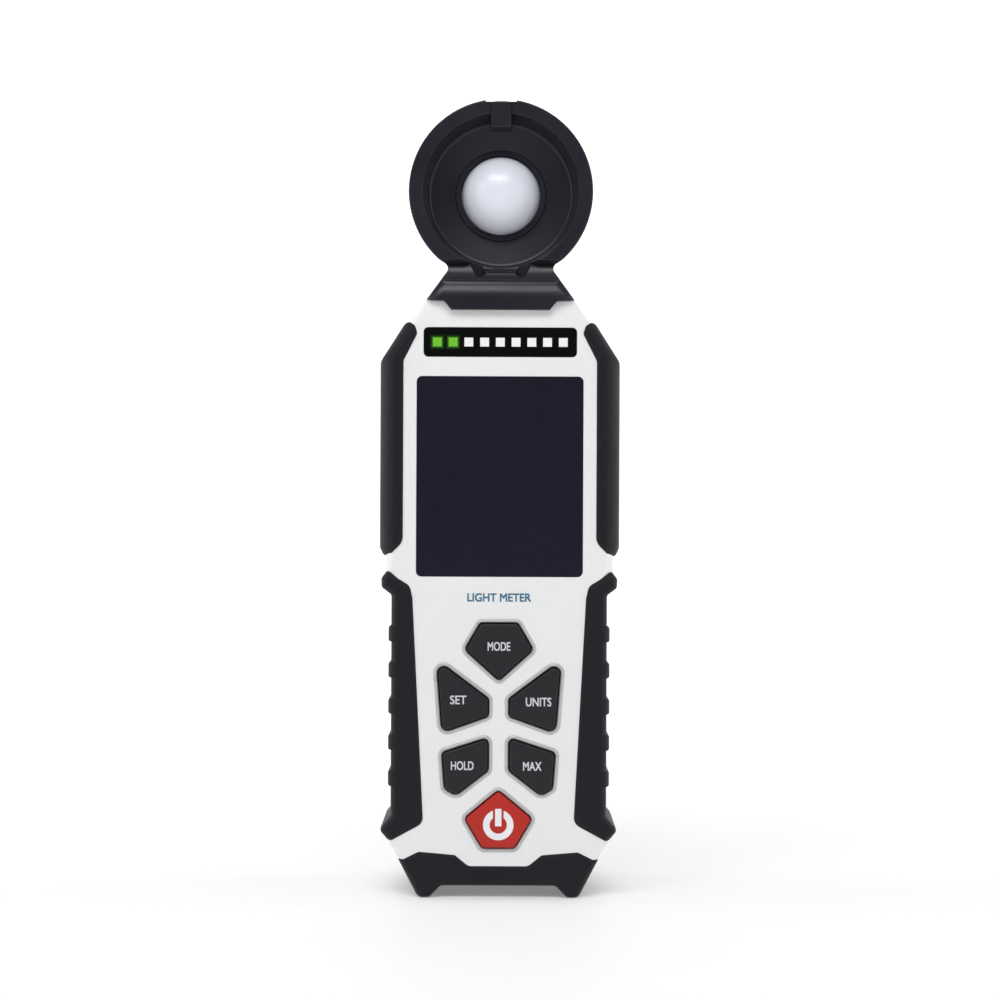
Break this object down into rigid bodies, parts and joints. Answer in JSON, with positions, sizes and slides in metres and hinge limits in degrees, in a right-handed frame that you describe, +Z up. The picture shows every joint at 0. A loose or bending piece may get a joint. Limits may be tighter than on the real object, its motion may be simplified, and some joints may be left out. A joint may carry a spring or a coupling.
{
  "type": "handheld light meter",
  "caption": "Handheld light meter: white diffuser dome in a black hood on a neck, a white case with rubber grips, display, lamp row, keys and battery door.",
  "frame": {"origin": "on the ground plane, midway between the two feet of the base bumper, at the middle of the overall box", "axes": "+Z up along the meter from its feet to the sensor hood, +Y from the display to the back, +X to the right seen from the front"},
  "size_m": [0.0682, 0.038, 0.2246],
  "materials": {
    "white_case": "fine moulded texture, satin",
    "black_rubber": "smooth overmoulded rubber, soft sheen",
    "head_black": "fine moulded texture, satin",
    "collar_black": "smooth, satin",
    "dome_white": "opal diffuser, soft sheen",
    "window_dark": "clear acrylic printed dark behind, smooth gloss",
    "strip_black": "smooth gloss",
    "lamp_green": "lit diffuser",
    "lamp_white": "unlit diffuser",
    "baffle_black": "matte",
    "key_grey": "matte keytop",
    "key_red": "matte keytop",
    "silicone_grey": "matte silicone",
    "carbon": "matte",
    "pad_gold": "plated, satin",
    "gasket_grey": "matte foam",
    "panel_glass": "polished",
    "spring_steel": "plated, satin",
    "ribbon_amber": "film",
    "board_green": "solder mask, satin",
    "chip_black": "moulded epoxy",
    "passive_tan": "ceramic",
    "connector_ivory": "moulded",
    "filter_green": "polished",
    "diode_metal": "plated",
    "led_yellow": "encapsulant",
    "cell_jacket": "plain printed sleeve, gloss",
    "wire_red": "PVC",
    "cable_grey": "PVC",
    "socket_brass": "machined"
  },
  "bodies": {
    "meter": {"front_case": "white_case", "rear_case": "white_case", "case_gasket": "gasket_grey", "grip_upper_left": "black_rubber", "grip_upper_right": "black_rubber", "grip_lower_left": "black_rubber", "grip_lower_right": "black_rubber", "base_bumper": "black_rubber", "head_front_shell": "head_black", "head_rear_shell": "head_black", "sensor_dome": "dome_white", "dome_collar": "collar_black", "photopic_filter": "filter_green", "photodiode": "diode_metal", "sensor_board": "board_green", "sensor_cable": "cable_grey", "display_window": "window_dark", "display_gasket": "gasket_grey", "display_panel": "panel_glass", "display_frame": "spring_steel", "display_ribbon": "ribbon_amber", "lamp_strip": "strip_black", "lamps_lit": "lamp_green", "lamps_unlit": "lamp_white", "lamp_baffle": "baffle_black", "lamp_leds": "led_yellow", "main_board": "board_green", "board_chips": "chip_black", "board_passives": "passive_tan", "board_connectors": "connector_ivory", "buzzer": "chip_black", "keypad_mat": "silicone_grey", "key_skirts": "silicone_grey", "key_pads": "pad_gold", "battery_cells": "cell_jacket", "battery_springs": "spring_steel", "battery_contacts": "spring_steel", "battery_leads": "wire_red", "tripod_socket": "socket_brass", "case_screws": "spring_steel", "head_screws": "spring_steel", "board_screws": "spring_steel"},
    "mode_button": {"key_mode": "key_grey", "pill_mode": "carbon"},
    "set_button": {"key_set": "key_grey", "pill_set": "carbon"},
    "units_button": {"key_units": "key_grey", "pill_units": "carbon"},
    "hold_button": {"key_hold": "key_grey", "pill_hold": "carbon"},
    "max_button": {"key_max": "key_grey", "pill_max": "carbon"},
    "power_button": {"key_power": "key_red", "pill_power": "carbon"},
    "door": {"battery_door": "white_case", "door_latch": "white_case", "door_pad": "gasket_grey"}
  },
  "joints": [
    {"name": "press_mode", "type": "slide", "parent": "meter", "child": "mode_button", "axis": [0, 1, 0], "range_m": [0, 0.001], "stiffness_N_per_m": 800, "springref_m": -0.0005, "deforming": ["key_skirts"]},
    {"name": "press_set", "type": "slide", "parent": "meter", "child": "set_button", "axis": [0, 1, 0], "range_m": [0, 0.001], "stiffness_N_per_m": 800, "springref_m": -0.0005, "deforming": ["key_skirts"]},
    {"name": "press_units", "type": "slide", "parent": "meter", "child": "units_button", "axis": [0, 1, 0], "range_m": [0, 0.001], "stiffness_N_per_m": 800, "springref_m": -0.0005, "deforming": ["key_skirts"]},
    {"name": "press_hold", "type": "slide", "parent": "meter", "child": "hold_button", "axis": [0, 1, 0], "range_m": [0, 0.001], "stiffness_N_per_m": 800, "springref_m": -0.0005, "deforming": ["key_skirts"]},
    {"name": "press_max", "type": "slide", "parent": "meter", "child": "max_button", "axis": [0, 1, 0], "range_m": [0, 0.001], "stiffness_N_per_m": 800, "springref_m": -0.0005, "deforming": ["key_skirts"]},
    {"name": "press_power", "type": "slide", "parent": "meter", "child": "power_button", "axis": [0, 1, 0], "range_m": [0, 0.001], "stiffness_N_per_m": 800, "springref_m": -0.0005, "deforming": ["key_skirts"]},
    {"name": "door_hinge", "type": "hinge", "parent": "meter", "child": "door", "pos_m": [0, 0.0172, 0.0322], "axis": [-1, 0, 0], "range_deg": [0, 85], "deforming": ["door_latch"]}
  ]
}
